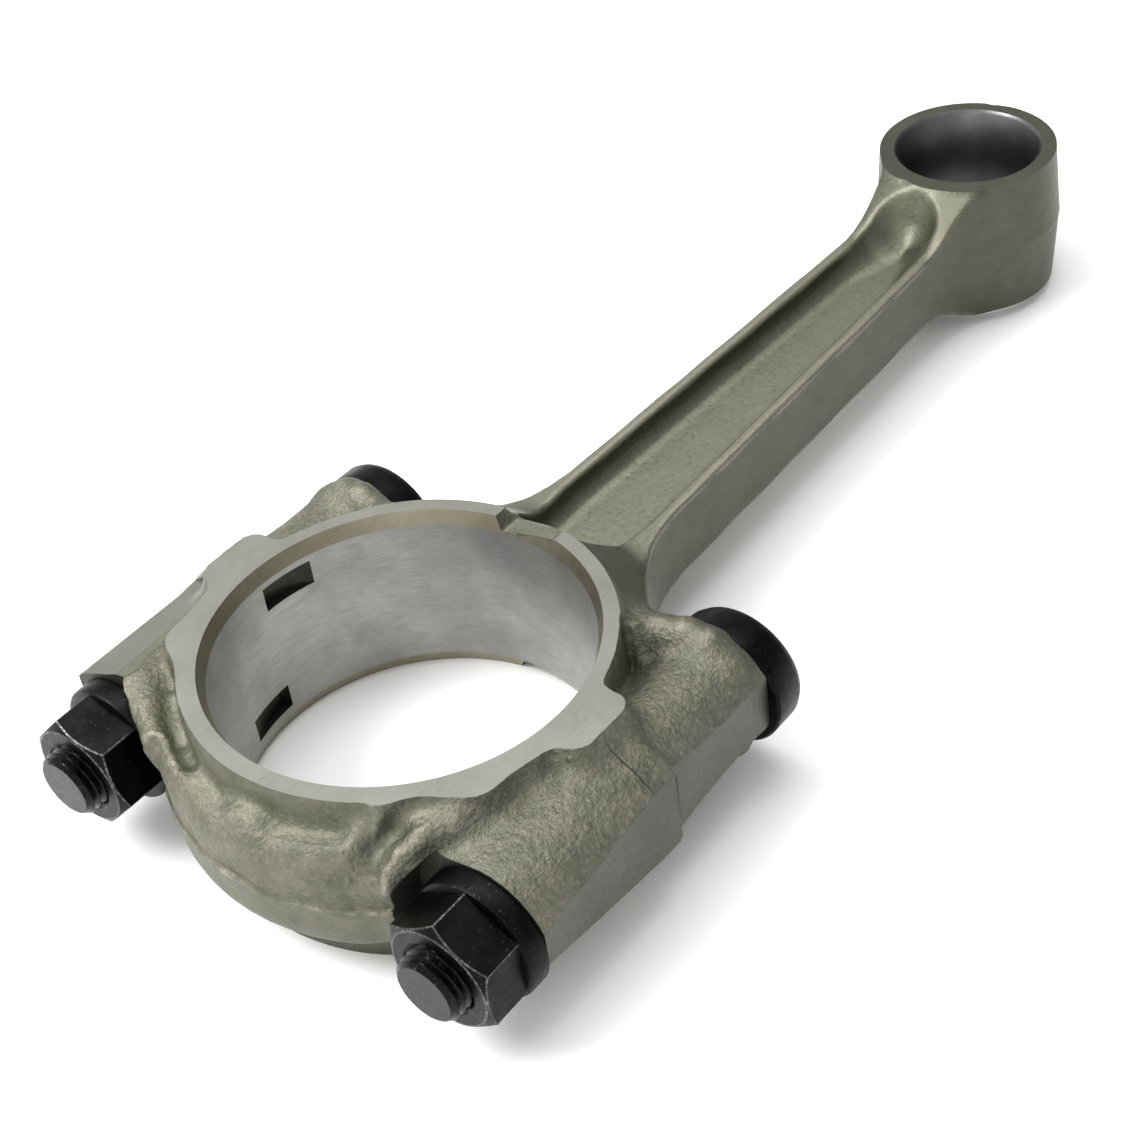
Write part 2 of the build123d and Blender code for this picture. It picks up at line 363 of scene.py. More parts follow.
# ---------------------------------------------------------------- materials
class Nodes:
    """Small helper to write node trees in a few lines."""

    def __init__(self, name):
        self.material = bpy.data.materials.new(name)
        self.material.use_nodes = True
        self.tree = self.material.node_tree
        self.shader = self.tree.nodes["Principled BSDF"]
        self.position = self.tree.nodes.new("ShaderNodeTexCoord").outputs["Object"]

    def feed(self, socket, value):
        """Link an input to another node's output, or give it a plain value."""
        if isinstance(value, bpy.types.NodeSocket):
            self.tree.links.new(value, socket)
        else:
            socket.default_value = value

    def node(self, kind, **values):
        """New node. Capitalised names and i0, i1 and so on are inputs, others are settings."""
        made = self.tree.nodes.new(kind)
        for key, value in values.items():
            if key[0] == "i" and key[1:].isdigit():
                self.feed(made.inputs[int(key[1:])], value)
            elif key[0].isupper():
                self.feed(made.inputs[key], value)
            else:
                setattr(made, key, value)
        return made

    def stretched(self, x, y, z):
        """Position in millimetres, scaled on each axis."""
        scale = tuple(factor / MM for factor in (x, y, z))
        return self.node("ShaderNodeVectorMath", operation="MULTIPLY", i0=self.position, i1=scale).outputs[0]

    def attribute(self, label):
        """Value that the mesh keeps at its vertices."""
        return self.node("ShaderNodeAttribute", attribute_name=label).outputs["Fac"]

    def noise(self, vector, scale, detail, roughness):
        return self.node("ShaderNodeTexNoise", Vector=vector, Scale=scale, Detail=detail,
                         Roughness=roughness).outputs["Fac"]

    def map(self, value, lo, hi, to_lo, to_hi):
        """Value from lo..hi laid on to_lo..to_hi, and held at the ends."""
        return self.node("ShaderNodeMapRange", Value=value, i1=lo, i2=hi, i3=to_lo, i4=to_hi).outputs[0]

    def product(self, a, b):
        return self.node("ShaderNodeMath", operation="MULTIPLY", i0=a, i1=b).outputs[0]

    def total(self, a, b):
        return self.node("ShaderNodeMath", operation="ADD", i0=a, i1=b).outputs[0]

    def mix(self, factor, a, b):
        """Colour a where factor is 0 and b where it is 1."""
        made = self.node("ShaderNodeMix", data_type="RGBA", i0=factor)
        for number, color in ((6, a), (7, b)):
            self.feed(made.inputs[number], (*color, 1.0) if isinstance(color, tuple) else color)
        return made.outputs[2]

    def bump(self, height, strength, distance, normal=None):
        """Fine relief, on top of another bump where one is given. Distance is in millimetres."""
        made = self.node("ShaderNodeBump", Strength=strength, Distance=distance * MM, Height=height)
        if normal is not None:
            self.feed(made.inputs["Normal"], normal)
        return made.outputs[0]

    def finish(self, color, roughness, normal):
        """Metal with this colour, roughness and relief."""
        for name, value in (("Base Color", color), ("Roughness", roughness), ("Normal", normal)):
            self.feed(self.shader.inputs[name], value)
        self.shader.inputs["Metallic"].default_value = 1.0
        return self.material


def times(color, factor):
    """Colour made lighter or darker."""
    return tuple(c * factor for c in color)


def forged_material(name, dark, mid, light):
    """Blasted forging skin: mottled olive grey, coarser and warmer where the mesh says so. Painted light
    lies on level faces and ridges; painted shade lies on upright faces and in hollows.
    """
    n = Nodes(name)
    place = n.stretched(1, 1, 1)
    coarse = n.attribute("coarse")
    level = n.attribute("level")
    edge = n.attribute("edge")
    patches = n.noise(place, 0.12, 3.0, 0.5)
    blotches = n.noise(place, 0.4, 3.0, 0.5)
    fine = n.noise(place, 1.6, 4.0, 0.55)
    grit = n.noise(place, 5.0, 2.0, 0.5)
    color = n.mix(n.map(patches, 0.3, 0.7, 0.15, 1.0), dark, mid)
    # smooth skin: painted light where it lies level, painted shade where it stands upright
    smooth = n.map(coarse, 0.0, 0.5, 1.0, 0.1)
    painted_level_light = n.product(n.map(level, 0.88, 0.98, 0.0, 0.8), smooth)
    painted_upright_shade = n.product(n.map(level, 0.5, 0.2, 0.0, 0.75), smooth)
    color = n.mix(painted_level_light, color, times(mid, 1.9))
    color = n.mix(painted_upright_shade, color, times(dark, 0.62))
    # coarse skin: warmer blotches and light specks, with dark pits everywhere
    warm = n.product(n.map(blotches, 0.35, 0.75, 0.1, 0.6), n.map(coarse, 0.0, 1.0, 0.2, 1.0))
    color = n.mix(warm, color, light)
    specks = n.product(n.map(fine, 0.55, 0.7, 0.0, 0.35), n.map(coarse, 0.0, 1.0, 0.15, 1.0))
    color = n.mix(specks, color, times(light, 1.4))
    color = n.mix(n.map(fine, 0.44, 0.3, 0.0, 0.3), color, times(dark, 0.6))
    # ridges lightened, partly rubbed wear and partly painted highlight; hollows darkened with painted shade
    color = n.mix(n.map(edge, 0.03, 0.16, 0.0, 0.75), color, times(light, 1.9))
    color = n.mix(n.map(edge, -0.02, -0.12, 0.0, 0.5), color, times(dark, 0.45))
    roughness = n.total(n.map(fine, 0.3, 0.7, -0.05, 0.05), n.map(coarse, 0.0, 0.6, 0.44, 0.57))
    grain = n.total(fine, n.product(grit, 0.35))
    height = n.product(grain, n.map(coarse, 0.0, 1.0, 0.15, 1.0))
    return n.finish(color, roughness, n.bump(height, 0.9, 0.3))


def machined_material(name, base, stained, along, rough=(0.3, 0.46)):
    """Ground or turned steel: satin, with fine lines and faint stains.

    The lines run along the axis with the smallest number in along.
    """
    n = Nodes(name)
    lines = n.noise(n.stretched(*along), 3.0, 5.0, 0.7)
    stain = n.noise(n.stretched(1, 1, 1), 0.09, 4.0, 0.6)
    specks = n.noise(n.stretched(1, 1, 1), 2.2, 3.0, 0.6)
    color = n.mix(n.map(stain, 0.38, 0.66, 0.0, 1.0), base, stained)
    color = n.mix(n.map(lines, 0.35, 0.7, 0.0, 0.35), color, times(stained, 0.72))
    color = n.mix(n.map(specks, 0.68, 0.76, 0.0, 0.4), color, times(stained, 0.5))
    roughness = n.map(lines, 0.3, 0.7, *rough)
    return n.finish(color, roughness, n.bump(lines, 0.35, 0.02))


def oxide_material(name, base, rough, wear):
    """Black oxide with a satin sheen and small scuffs that show bare steel, more with more wear."""
    n = Nodes(name)
    bare = (0.33, 0.32, 0.3)
    cloud = n.noise(n.stretched(1, 1, 1), 0.35, 5.0, 0.6)
    streaks = n.noise(n.stretched(0.25, 1.6, 1.6), 1.4, 4.0, 0.65)
    scuffs = n.noise(n.stretched(1, 1, 1), 2.4, 4.0, 0.7)
    color = n.mix(n.map(cloud, 0.35, 0.7, 0.0, 1.0), base, times(base, 2.1))
    color = n.mix(n.map(scuffs, 0.66 - 0.16 * wear, 0.74, 0.0, 0.25 + 0.5 * wear), color, bare)
    roughness = n.map(streaks, 0.3, 0.7, rough - 0.06, rough + 0.1)
    normal = n.bump(streaks, 0.22, 0.02)
    return n.finish(color, roughness, n.bump(scuffs, 0.2, 0.03, normal))


forged = forged_material("forged_skin", (0.095, 0.097, 0.072), (0.142, 0.143, 0.109), (0.225, 0.215, 0.17))
ground = machined_material("ground_face", (0.365, 0.365, 0.32), (0.3, 0.3, 0.262), (0.25, 1.0, 1.0))
bored = machined_material(
    "bored_wall", (0.375, 0.375, 0.36), (0.265, 0.265, 0.257), (0.12, 0.12, 1.4), (0.36, 0.52))
chamfered = machined_material("chamfered_lip", (0.36, 0.335, 0.245), (0.28, 0.26, 0.187), (0.3, 0.3, 1.0))
milled = machined_material(
    "milled_flat", (0.122, 0.124, 0.105), (0.095, 0.097, 0.082), (1.0, 0.3, 0.3), (0.4, 0.55))
slotted = machined_material(
    "slot_wall", (0.07, 0.07, 0.06), (0.045, 0.045, 0.038), (1.0, 1.0, 0.3), (0.45, 0.6))
eye_face = machined_material(
    "eye_face", (0.125, 0.13, 0.1), (0.095, 0.1, 0.076), (1.0, 1.0, 1.0), (0.4, 0.55))
eye_bore = machined_material(
    "eye_bore", (0.16, 0.16, 0.162), (0.105, 0.105, 0.107), (0.15, 0.15, 1.4), (0.3, 0.42))
oxide = oxide_material("black_oxide", (0.006, 0.0062, 0.0062), 0.4, 0.15)
oxide_edge = oxide_material("black_oxide_worn", (0.03, 0.03, 0.03), 0.36, 1.0)
oxide_flat = oxide_material("black_oxide_brushed", (0.012, 0.0125, 0.012), 0.4, 0.2)
thread_steel = oxide_material("black_thread", (0.0062, 0.0066, 0.0065), 0.3, 0.3)


# ---------------------------------------------------------------- shapes that rod and cap share
def boss_section(y, z, radius):
    """Round boss about a bolt axis, with draft that flattens its lower outer side."""
    out = np.abs(y) - BOLT_Y
    round_part = np.sqrt(out ** 2 + z * z) - radius
    under = 0.72 * out - 0.69 * z - (radius - 1.3)
    return smax(round_part, under, 2.0)


def mirrored_lobe(x, y, az, x_lo, x_hi, draft):
    """Flat-topped lobe beside the ring at the joint, drafted outwards below its face."""
    reach = 30.9
    corner = 2.4
    grow = draft * np.maximum(RING_Z - az, 0.0)
    middle, half = (x_lo + x_hi) / 2, (x_hi - x_lo) / 2
    along = np.abs(x - middle) - half + corner - grow
    out = np.abs(y) - reach + corner - grow
    return np.maximum(rounded(along, out, corner), az - RAW_Z)


# ---------------------------------------------------------------- rod forging
def shank_width(x):
    """Half width of the shank and its flare, smoothed between the stations."""
    fine = np.arange(SHANK_X[0], SHANK_X[-1], 0.25)
    widths = np.interp(fine, SHANK_X, SHANK_W)
    kernel = np.hanning(17)
    padded = np.pad(widths, len(kernel) // 2, mode="edge")
    smooth = np.convolve(padded, kernel / kernel.sum(), mode="valid")
    return np.interp(x, fine, smooth)


def shank_field(x, y, az, r1, r2):
    """I-beam shank: drafted outline, flanges that rise to a cone at each bore, and the channel."""
    # each cone's slope, and the factor that turns its height into a distance
    ring_slope, ring_cosine = 0.795, 0.783
    eye_slope, eye_cosine = 0.589, 0.86
    width = shank_width(x)
    slope = np.gradient(width.ravel(), x.ravel()).reshape(x.shape)
    plan = (np.abs(y) - width - 0.25 + 0.085 * az) / np.sqrt(1.0 + slope * slope)
    plan = np.maximum(plan, np.maximum(18.0 - x, x - 134.0))
    near_ring = 12.25 - np.maximum(r1 - RING_R, -1.0) * ring_slope
    near_eye = 11.3 - np.maximum(r2 - 13.7, -1.0) * eye_slope
    ring_cone = (az - near_ring) * ring_cosine
    eye_cone = (az - near_eye) * eye_cosine
    height = smin(smin(az - FLANGE_Z, ring_cone, 1.4), eye_cone, 1.6)
    body = smax(plan, height, 0.4)
    # channel: it starts at the ring, ends round at the eye and leans more there
    half = np.interp(x, CHANNEL_X, CHANNEL_W)
    outline = np.hypot(np.maximum(x - CHANNEL_END, 0.0), y) - half
    outline = smax(outline, CHANNEL_START - x, 3.0)
    land = np.maximum(np.maximum(near_ring, near_eye), FLANGE_Z)
    nose = ramp(x, 104.0, 119.0)
    lean = 0.2 + 0.4 * nose
    wall = (outline + lean * (land - az)) / np.sqrt(1.0 + lean * lean)
    channel = smax(wall, WEB_Z - az, 2.6 + 2.0 * nose)
    return smax(body, -channel, 0.5)


def rod_boss_field(x, y, z):
    """Bolt boss with its thicker root at the joint, and the ridge that meets its rim."""
    taper = np.clip((x - 4.0) / 20.0, 0.0, 1.0)
    radius = 9.4 - 0.7 * taper - 0.45 * np.sin(np.pi * taper)
    boss = smax(boss_section(y, z, radius), np.maximum(3.0 - x, x - 24.3), 0.8)
    root = smax(boss_section(y, z, 10.3), np.maximum(-1.5 - x, x - 4.2), 1.4)
    boss = smin(boss, root, 1.4)
    ridge_points = (
        (18.6, 18.0, 7.0), (20.6, 21.0, 7.8), (21.4, 24.0, 8.8),
        (21.9, 26.6, 9.4), (22.0, 29.6, 9.0), (21.8, 33.0, 6.6),
    )
    ridge = capsule_chain(x, np.abs(y), np.abs(z), ridge_points, (1.6, 1.7, 1.7, 1.6, 1.4, 0.9))
    return smin(boss, smax(ridge, x - 23.85, 0.6), 3.4)


def notch_field(y, az):
    """Shallow forged notch across the ring's face: steep on one side, a long rise on the other."""
    across = np.clip((5.8 - y) / 12.6, 0.0, 1.0)
    rise = 1.0 - 0.45 * ramp(across, 0.2, 0.85) - 0.55 * ramp(across, 0.8, 1.0)
    dip = ramp(across, 0.0, 0.2) * rise
    return (az - (14.6 - 3.35 * dip)) * 0.8


def rod_field(x, y, z):
    """Rod forging before it is machined."""
    az = np.abs(z)
    r1 = np.sqrt(x * x + y * y)
    r2 = np.sqrt((x - CENTRES) ** 2 + y * y)
    body = shank_field(x, y, az, r1, r2)
    body = smin(body, rod_boss_field(x, y, z), 3.4)
    body = smin(body, mirrored_lobe(x, y, az, -8.0, 6.0, 0.16), 2.4)
    ring = np.maximum(r1 - RING_R - 0.04 * (RING_Z - az), az - RAW_Z)
    body = smin(body, ring, 1.6)
    eye = smax(r2 - 14.45 + 0.75 * az / EYE_Z, az - 12.0, 0.3)
    body = smin(body, eye, 1.6)
    return np.where(x > 15.0, smax(body, notch_field(y, az), 0.5), body)


def rod_relief(points):
    """Height of the forging's own roughness, and how coarse it is: rough bosses, fine shank."""
    x, y, z = points.T
    coarse = (1.0 - ramp(x, 19.0, 27.0)) * ramp(np.abs(y), 15.0, 22.0)
    lumps = noise(points, 0.85, 11) + 0.8 * noise(points, 0.5, 12)
    waves = noise(points, 5.0, 13)
    streaks = noise(points * np.array([0.3, 1.0, 1.0]), 1.5, 14)
    trimmed = np.exp(-(((z - 0.25 * noise(points, 6.0, 15)) / 0.35) ** 2)) * ramp(x, 30.0, 36.0)
    fine = (1.0 - coarse) * (0.010 * lumps + 0.018 * streaks + 0.05 * trimmed)
    return 0.055 * coarse * lumps + 0.03 * waves + fine, coarse


# ---------------------------------------------------------------- cap forging
def left_bevel(y, z):
    """Distance above the bevel plane on the left boss."""
    return 0.413 * (y - BOLT_Y) + 0.911 * z - 8.95


def cap_ring_field(r, az, turn):
    """Drafted ring, thicker where it meets each boss. Turn is in degrees from the cap's middle."""
    bump = 1.9 * np.exp(-(((turn - 59.0) / 7.0) ** 2)) + 0.7 * ramp(turn, 50.0, 70.0)
    return np.maximum(r - (27.2 + bump) - 0.10 * np.maximum(RING_Z - az, 0.0), az - RAW_Z)


def cap_band_field(r, z, angle):
    """Drafted band below the ring: a step at the flash line, and a ledge with a raised lip."""
    az = np.abs(z)
    corner = 1.3
    wander = 0.25 * np.sin(angle * 7.0 + 0.5) + 0.15 * np.sin(angle * 17.0)
    low_die = 1.0 - ramp(z - wander, -0.15, 0.15)
    outer = 31.5 + 0.5 * low_die - 0.02 * az * az * (0.6 + 0.6 * low_die)
    band = rounded(r - outer + corner, az - 6.9 + corner, corner)
    lip_height = 5.3 + 0.35 * np.cos(angle * 3.0 - 1.0) - 1.6 * ramp(-np.degrees(angle), 26.0, 34.0)
    lip = np.sqrt((r - 29.6) ** 2 + (az - lip_height) ** 2) - 2.0
    return smin(band, lip, 2.4)


def with_ridges(body, x, y, z):
    """Body with three ridges, the small nub left by the die, and a hollow beside the left boss."""
    ridges = (
        (((-29.2, -8.5, 6.0), (-28.2, -12.6, 6.2), (-26.6, -15.0, 7.0), (-24.4, -15.8, 8.6),
          (-22.2, -16.9, 10.8)), (1.2, 1.5, 1.5, 1.4, 1.2), 2.6),
        (((-25.2, -18.6, 5.6), (-23.0, -19.4, 7.6), (-20.6, -20.6, 9.4), (-18.0, -23.0, 9.8)),
         (1.4, 1.6, 1.7, 1.6), 2.6),
        (((-19.6, 25.8, 8.8), (-22.4, 22.2, 8.2), (-25.2, 17.3, 7.3), (-27.9, 11.8, 6.5),
          (-29.2, 7.0, 6.0)), (1.6, 1.7, 1.6, 1.4, 1.0), 2.8),
    )
    for points, radii, blend in ridges:
        body = smin(body, capsule_chain(x, y, z, points, radii), blend + 0.6)
    body = smin(body, ball(x, y, z, (-29.0, -0.9, 7.2), (1.9, 2.4, 1.8)), 2.4)
    hollow_points = ((-21.8, 19.0, 10.2), (-24.4, 15.0, 8.9), (-26.2, 11.6, 8.7))
    hollow = capsule_chain(x, y, z, hollow_points, (0.3, 0.6, 0.2))
    return smax(body, -hollow, 3.2)


def cap_boss_field(x, y, z):
    """Bolt bosses that taper to the nut seats. The left one is bevelled."""
    taper = np.clip(-x / 21.0, 0.0, 1.0)
    radius = 10.3 - 1.6 * taper
    radius = radius + (9.9 - radius) * ramp(y, 20.0, 26.0) * ramp(z, -1.0, 2.0) * ramp(-x, 1.0, 4.0)
    boss = smax(boss_section(y, z, radius), np.maximum(-22.0 - x, x - 1.5), 0.4)
    return np.where(y > 0, smax(boss, left_bevel(y, z), 0.3), boss)


def cap_field(x, y, z):
    """Cap forging before it is machined. Its ridges and groove are on the upper side only."""
    az = np.abs(z)
    r = np.sqrt(x * x + y * y)
    angle = np.arctan2(y, -x)
    turn = np.abs(np.degrees(angle))
    body = smin(cap_band_field(r, z, angle), cap_ring_field(r, az, turn), 3.0)
    body = with_ridges(body, x, y, z)
    # the ridges stay inside the band's outline, away from the bosses
    body = smax(body, r - 32.3 + 0.026 * az * az - 8.0 * ramp(turn, 33.0, 42.0), 1.2)
    body = smin(body, cap_boss_field(x, y, z), 3.4)
    body = smin(body, mirrored_lobe(x, y, az, -4.2, 8.0, 0.2), 2.2)
    groove_points = (
        (-29.4, -15.2, 5.4), (-27.2, -17.0, 6.8), (-24.8, -17.4, 8.8),
        (-22.4, -18.6, 10.8), (-20.2, -20.2, 12.8),
    )
    groove = capsule_chain(x, y, z, groove_points, (0.4, 0.7, 0.8, 0.7, 0.4))
    return smax(body, -groove, 2.6)


def cap_relief(points):
    """Height of the forging's own roughness and of its ragged flash line, and how coarse it is."""
    x, y, z = points.T
    r = np.hypot(x, y)
    above = ramp(z, -0.8, 0.3)
    ledge = ramp(r, 28.9, 30.0) * above
    boss = ramp(np.abs(y), 19.0, 24.0) * (0.55 + 0.45 * above)
    bevelled = ramp(left_bevel(y, z), -0.5, -0.2) * ramp(y, 24.0, 26.0)
    coarse = np.maximum(np.maximum(ledge, boss), 0.45)
    coarse = coarse * (1.0 - bevelled * 0.95)
    lumps = noise(points, 0.7, 21) + 0.8 * noise(points, 0.45, 22)
    waves = noise(points, 4.0, 23)
    ragged = np.exp(-(((z + 0.1 - 0.35 * noise(points, 2.2, 24)) / 0.32) ** 2))
    ragged = ragged * np.maximum(0.5 + noise(points, 1.2, 25), 0.0)
    flash = np.where((r > 30.6) & (np.abs(y) < 22.0), ragged, 0.0)
    return 0.055 * coarse * lumps + 0.04 * waves * coarse + 0.26 * flash, coarse


# ---------------------------------------------------------------- machining
def machine_big_end(obj, name):
    """Faces, mouth chamfers and bore that rod and cap share."""
    grind(obj, name, (-FAR, -FAR), (FAR, FAR), RING_Z, ground)
    mouth = RING_Z - 2.0
    lower = [(-14.1, 0), (-14.1, 25.2), (-mouth, BORE_R), (-mouth + 0.01, 0)]
    upper = [(-along, radius) for along, radius in reversed(lower)]
    for label, profile in (("_lip", lower), ("_lip2", upper)):
        combine(obj, lathe(name + label, profile, (0, 0, 0), AXIS_Z, chamfered))
    drill(obj, name + "_bore", -15, 15, BORE_R, (0, 0, 0), AXIS_Z, bored, 360)


def tang_slot(obj, name, z):
    """Slot for a bearing shell's tang, cut by a round cutter."""
    half, cutter_y, cutter_r = 1.8, 14.1, 11.5
    drill(obj, name, z - half, z + half, cutter_r, (0, cutter_y, 0), AXIS_Z, slotted, 160)


def finish_piece(obj, node, body):
    """Hand a piece to the frame in place of its CAD node."""
    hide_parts(node)
    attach(obj, body)


def make_rod():
    """Rod forging with its ground, bored, milled and slotted faces."""
    rod = skin("rod_skin", rod_field, (-0.9, -40.0, -14.8), (152.4, 40.0, 14.8), 0.4, rod_relief, forged)
    grind(rod, "rod_eye", (118, -20), (160, 20), EYE_Z, eye_face)
    machine_big_end(rod, "rod")
    tang_slot(rod, "rod_slot", 8.4)
    wide, end, mouth = EYE_BORE_R + 1.1, 11.8, 10.7
    eye_profile = [(-end, 0), (-end, wide), (-mouth, EYE_BORE_R), (mouth, EYE_BORE_R), (end, wide), (end, 0)]
    combine(rod, lathe("rod_eye_bore", eye_profile, (CENTRES, 0, 0), AXIS_Z, eye_bore, 200))
    for side in (1, -1):
        drill(rod, "rod_seat", 0, 20, 9.3, (HEAD_SEAT, side * BOLT_Y, 0), AXIS_X, milled, 128)
        drill(rod, "rod_hole", -5, 30, HOLE_R, (0, side * BOLT_Y, 0), AXIS_X, milled, 96)
        for x_lo, x_hi, offset in ((-2.0, 4.0, 8.1), (4.0, 27.0, 7.1)):
            side_cut(rod, "rod_flat", x_lo, x_hi, side, BOLT_Y + offset, 50.0, milled)
    combine(rod, block("rod_joint", (-5, -FAR, -HIGH), (0, FAR, HIGH), ground))
    crease(rod, 50)
    finish_piece(rod, "connecting_rod", "rod")


def make_cap():
    """Cap forging with its ground, bored, milled and slotted faces."""
    cap = skin("cap_skin", cap_field, (-33.0, -40.2, -14.8), (0.9, 40.2, 14.8), 0.3, cap_relief, forged)
    machine_big_end(cap, "cap")
    tang_slot(cap, "cap_slot", -8.1)
    for side in (1, -1):
        drill(cap, "cap_seat", -20, 0, 10.5, (NUT_SEAT, side * BOLT_Y, 0), AXIS_X, slotted, 128)
        drill(cap, "cap_hole", -30, 5, HOLE_R, (0, side * BOLT_Y, 0), AXIS_X, milled, 96)
        side_cut(cap, "cap_flat", -40, 2, side, BOLT_Y + 8.1, 50.0, milled)
    combine(cap, block("cap_joint", (0, -FAR, -HIGH), (5, FAR, HIGH), ground))
    crease(cap, 50)
    finish_piece(cap, "rod_cap", "cap")


# ---------------------------------------------------------------- bolts and nuts
def thread_radius(x, turn, major, depth):
    """Radius of a right-hand vee thread at x, for a turn from 0 to 1."""
    phase = (x / PITCH - turn) % 1.0
    tooth = abs(2.0 * phase - 1.0)
    return major - depth * min(1.0, max(0.0, 1.15 * tooth - 0.08))


def radius_along(stations, x):
    """Radius at x of an outline of (x, radius) stations."""
    return float(np.interp(x, [s[0] for s in stations], [s[1] for s in stations]))


def threaded_bar(name, stations, thread_lo, thread_hi, radius_at, side, material):
    """Closed bar about a bolt axis, with rings of vertices at its stations and along its thread."""
    segments = 96
    thread_rings = np.arange(thread_lo, thread_hi, PITCH / 12.0)
    verts, rows = [], []
    for x in sorted({x for x, _ in stations} | set(thread_rings)):
        rows.append([len(verts) + s for s in range(segments)])
        for s in range(segments):
            radius = radius_at(x, s / segments)
            t = 2 * math.pi * s / segments
            verts.append((x, side * BOLT_Y + radius * math.cos(t), radius * math.sin(t)))
    faces = []
    for low, high in zip(rows, rows[1:]):
        faces += bridge(low, high)
    faces += [tuple(rows[0]), tuple(rows[-1])]
    return new_object(name, verts, faces, material)


def make_bolt(name, side, node, body):
    """Waisted bolt with a cut thread and a round head that has one flat."""
    thread_end = BOLT_TIP + 19.6
    stations = [
        (BOLT_TIP, 3.75), (BOLT_TIP + 0.12, 3.95), (BOLT_TIP + 0.6, THREAD_R), (BOLT_TIP + 20.0, THREAD_R),
        (BOLT_TIP + 20.5, WAIST_R), (-5.0, WAIST_R), (-4.5, THREAD_R), (4.5, THREAD_R), (5.0, WAIST_R),
        (19.5, WAIST_R), (20.0, THREAD_R), (24.4, THREAD_R),
    ]

    def radius_at(x, part_turn):
        plain = radius_along(stations, x)
        fade = min(1.0, max(0.0, (thread_end - x) / 1.5))
        return min(plain, thread_radius(x, part_turn, THREAD_R, THREAD_DEPTH * fade))

    bolt = threaded_bar(name, stations, BOLT_TIP, thread_end, radius_at, side, thread_steel)
    outward(bolt)
    head_profile = [
        (HEAD_SEAT, 0), (HEAD_SEAT, 8.35), (HEAD_SEAT + 0.35, HEAD_R), (HEAD_TOP - 1.3, HEAD_R),
        (HEAD_TOP - 0.35, 8.28), (HEAD_TOP, 7.5), (HEAD_TOP, 0),
    ]
    head = lathe(name + "_head", head_profile, (0, side * BOLT_Y, 0), AXIS_X, oxide, 128)
    outward(head)
    side_cut(head, "head_flat", 20, 34, side, BOLT_Y - 7.6, 10.0, oxide_flat)
    bevel(head, 0.22, 40)
    combine(bolt, head, "UNION")
    crease(bolt, 27)
    finish_piece(bolt, node, body)


def hexagon(name, x_lo, x_hi, side, turn, material):
    """Six-sided bar about a bolt axis, with its first corner turned by this many degrees."""
    corner = ACROSS_FLATS / math.sqrt(3)
    ring = []
    for k in range(6):
        t = math.radians(turn + 60.0 * k)
        ring.append((side * BOLT_Y + corner * math.cos(t), corner * math.sin(t)))
    verts = [(x, *p) for x in (x_hi, x_lo) for p in ring]
    faces = [tuple(range(6)), tuple(range(11, 5, -1))]
    faces += [(k, (k + 1) % 6, (k + 1) % 6 + 6, k + 6) for k in range(6)]
    return new_object(name, verts, faces, material)


def make_nut(name, side, turn, node, body):
    """Hexagon nut with a turned crown, a round collar and a cut thread."""
    axis_point = (0, side * BOLT_Y, 0)
    nut = hexagon(name, NUT_TOP, NUT_SEAT - 1.0, side, turn, oxide)
    nut.data.materials.append(oxide_edge)
    outward(nut)
    crown_profile = [
        (NUT_SEAT + 0.5, 0), (NUT_SEAT + 0.5, 9.0), (COLLAR_TOP, 9.0), (COLLAR_TOP - 0.6, 8.25),
        (NUT_TOP + 0.95, 8.25), (NUT_TOP, 6.75), (NUT_TOP, 0),
    ]
    combine(nut, lathe(name + "_crown", crown_profile, axis_point, AXIS_X, oxide, 192), "INTERSECT")
    bevel(nut, 0.16, 20, nut.data.materials.find(oxide_edge.name))
    collar_profile = [
        (NUT_SEAT, 0), (NUT_SEAT, 8.15), (NUT_SEAT - 0.25, COLLAR_R), (COLLAR_TOP + 0.55, COLLAR_R),
        (COLLAR_TOP + 0.2, 8.2), (COLLAR_TOP, 7.7), (COLLAR_TOP, 0),
    ]
    combine(nut, lathe(name + "_collar", collar_profile, axis_point, AXIS_X, oxide, 160), "UNION")
    mouths = [
        (NUT_TOP - 1.0, 5.9), (NUT_TOP, 5.1), (NUT_TOP + 0.75, 4.35),
        (NUT_SEAT - 0.75, 4.35), (NUT_SEAT, 5.1), (NUT_SEAT + 1.0, 5.9),
    ]

    major, depth = 4.6, 0.5

    def radius_at(x, part_turn):
        return max(radius_along(mouths, x), thread_radius(x, part_turn, major, depth))

    tap = threaded_bar(name + "_thread", mouths, NUT_TOP + 0.05, NUT_SEAT, radius_at, side, thread_steel)
    combine(nut, tap)
    crease(nut, 32)
    finish_piece(nut, node, body)


make_rod()
make_cap()
for label, side, turn in (("left", 1, 14.0), ("right", -1, 30.0)):
    make_bolt("bolt_" + label + "_detail", side, "bolt_" + label, label + "_bolt")
    make_nut("nut_" + label + "_detail", side, turn, "nut_" + label, label + "_nut")


# ---------------------------------------------------------------- studio
def area_light(name, place, target, size, power):
    """Rectangular softbox that faces its target."""
    data = bpy.data.lights.new(name, "AREA")
    data.shape = "RECTANGLE"
    data.size, data.size_y = size
    data.energy = power
    light = bpy.data.objects.new(name, data)
    light.location = place
    light.rotation_euler = (Vector(target) - Vector(place)).to_track_quat("-Z", "Y").to_euler()
    bpy.context.scene.collection.objects.link(light)


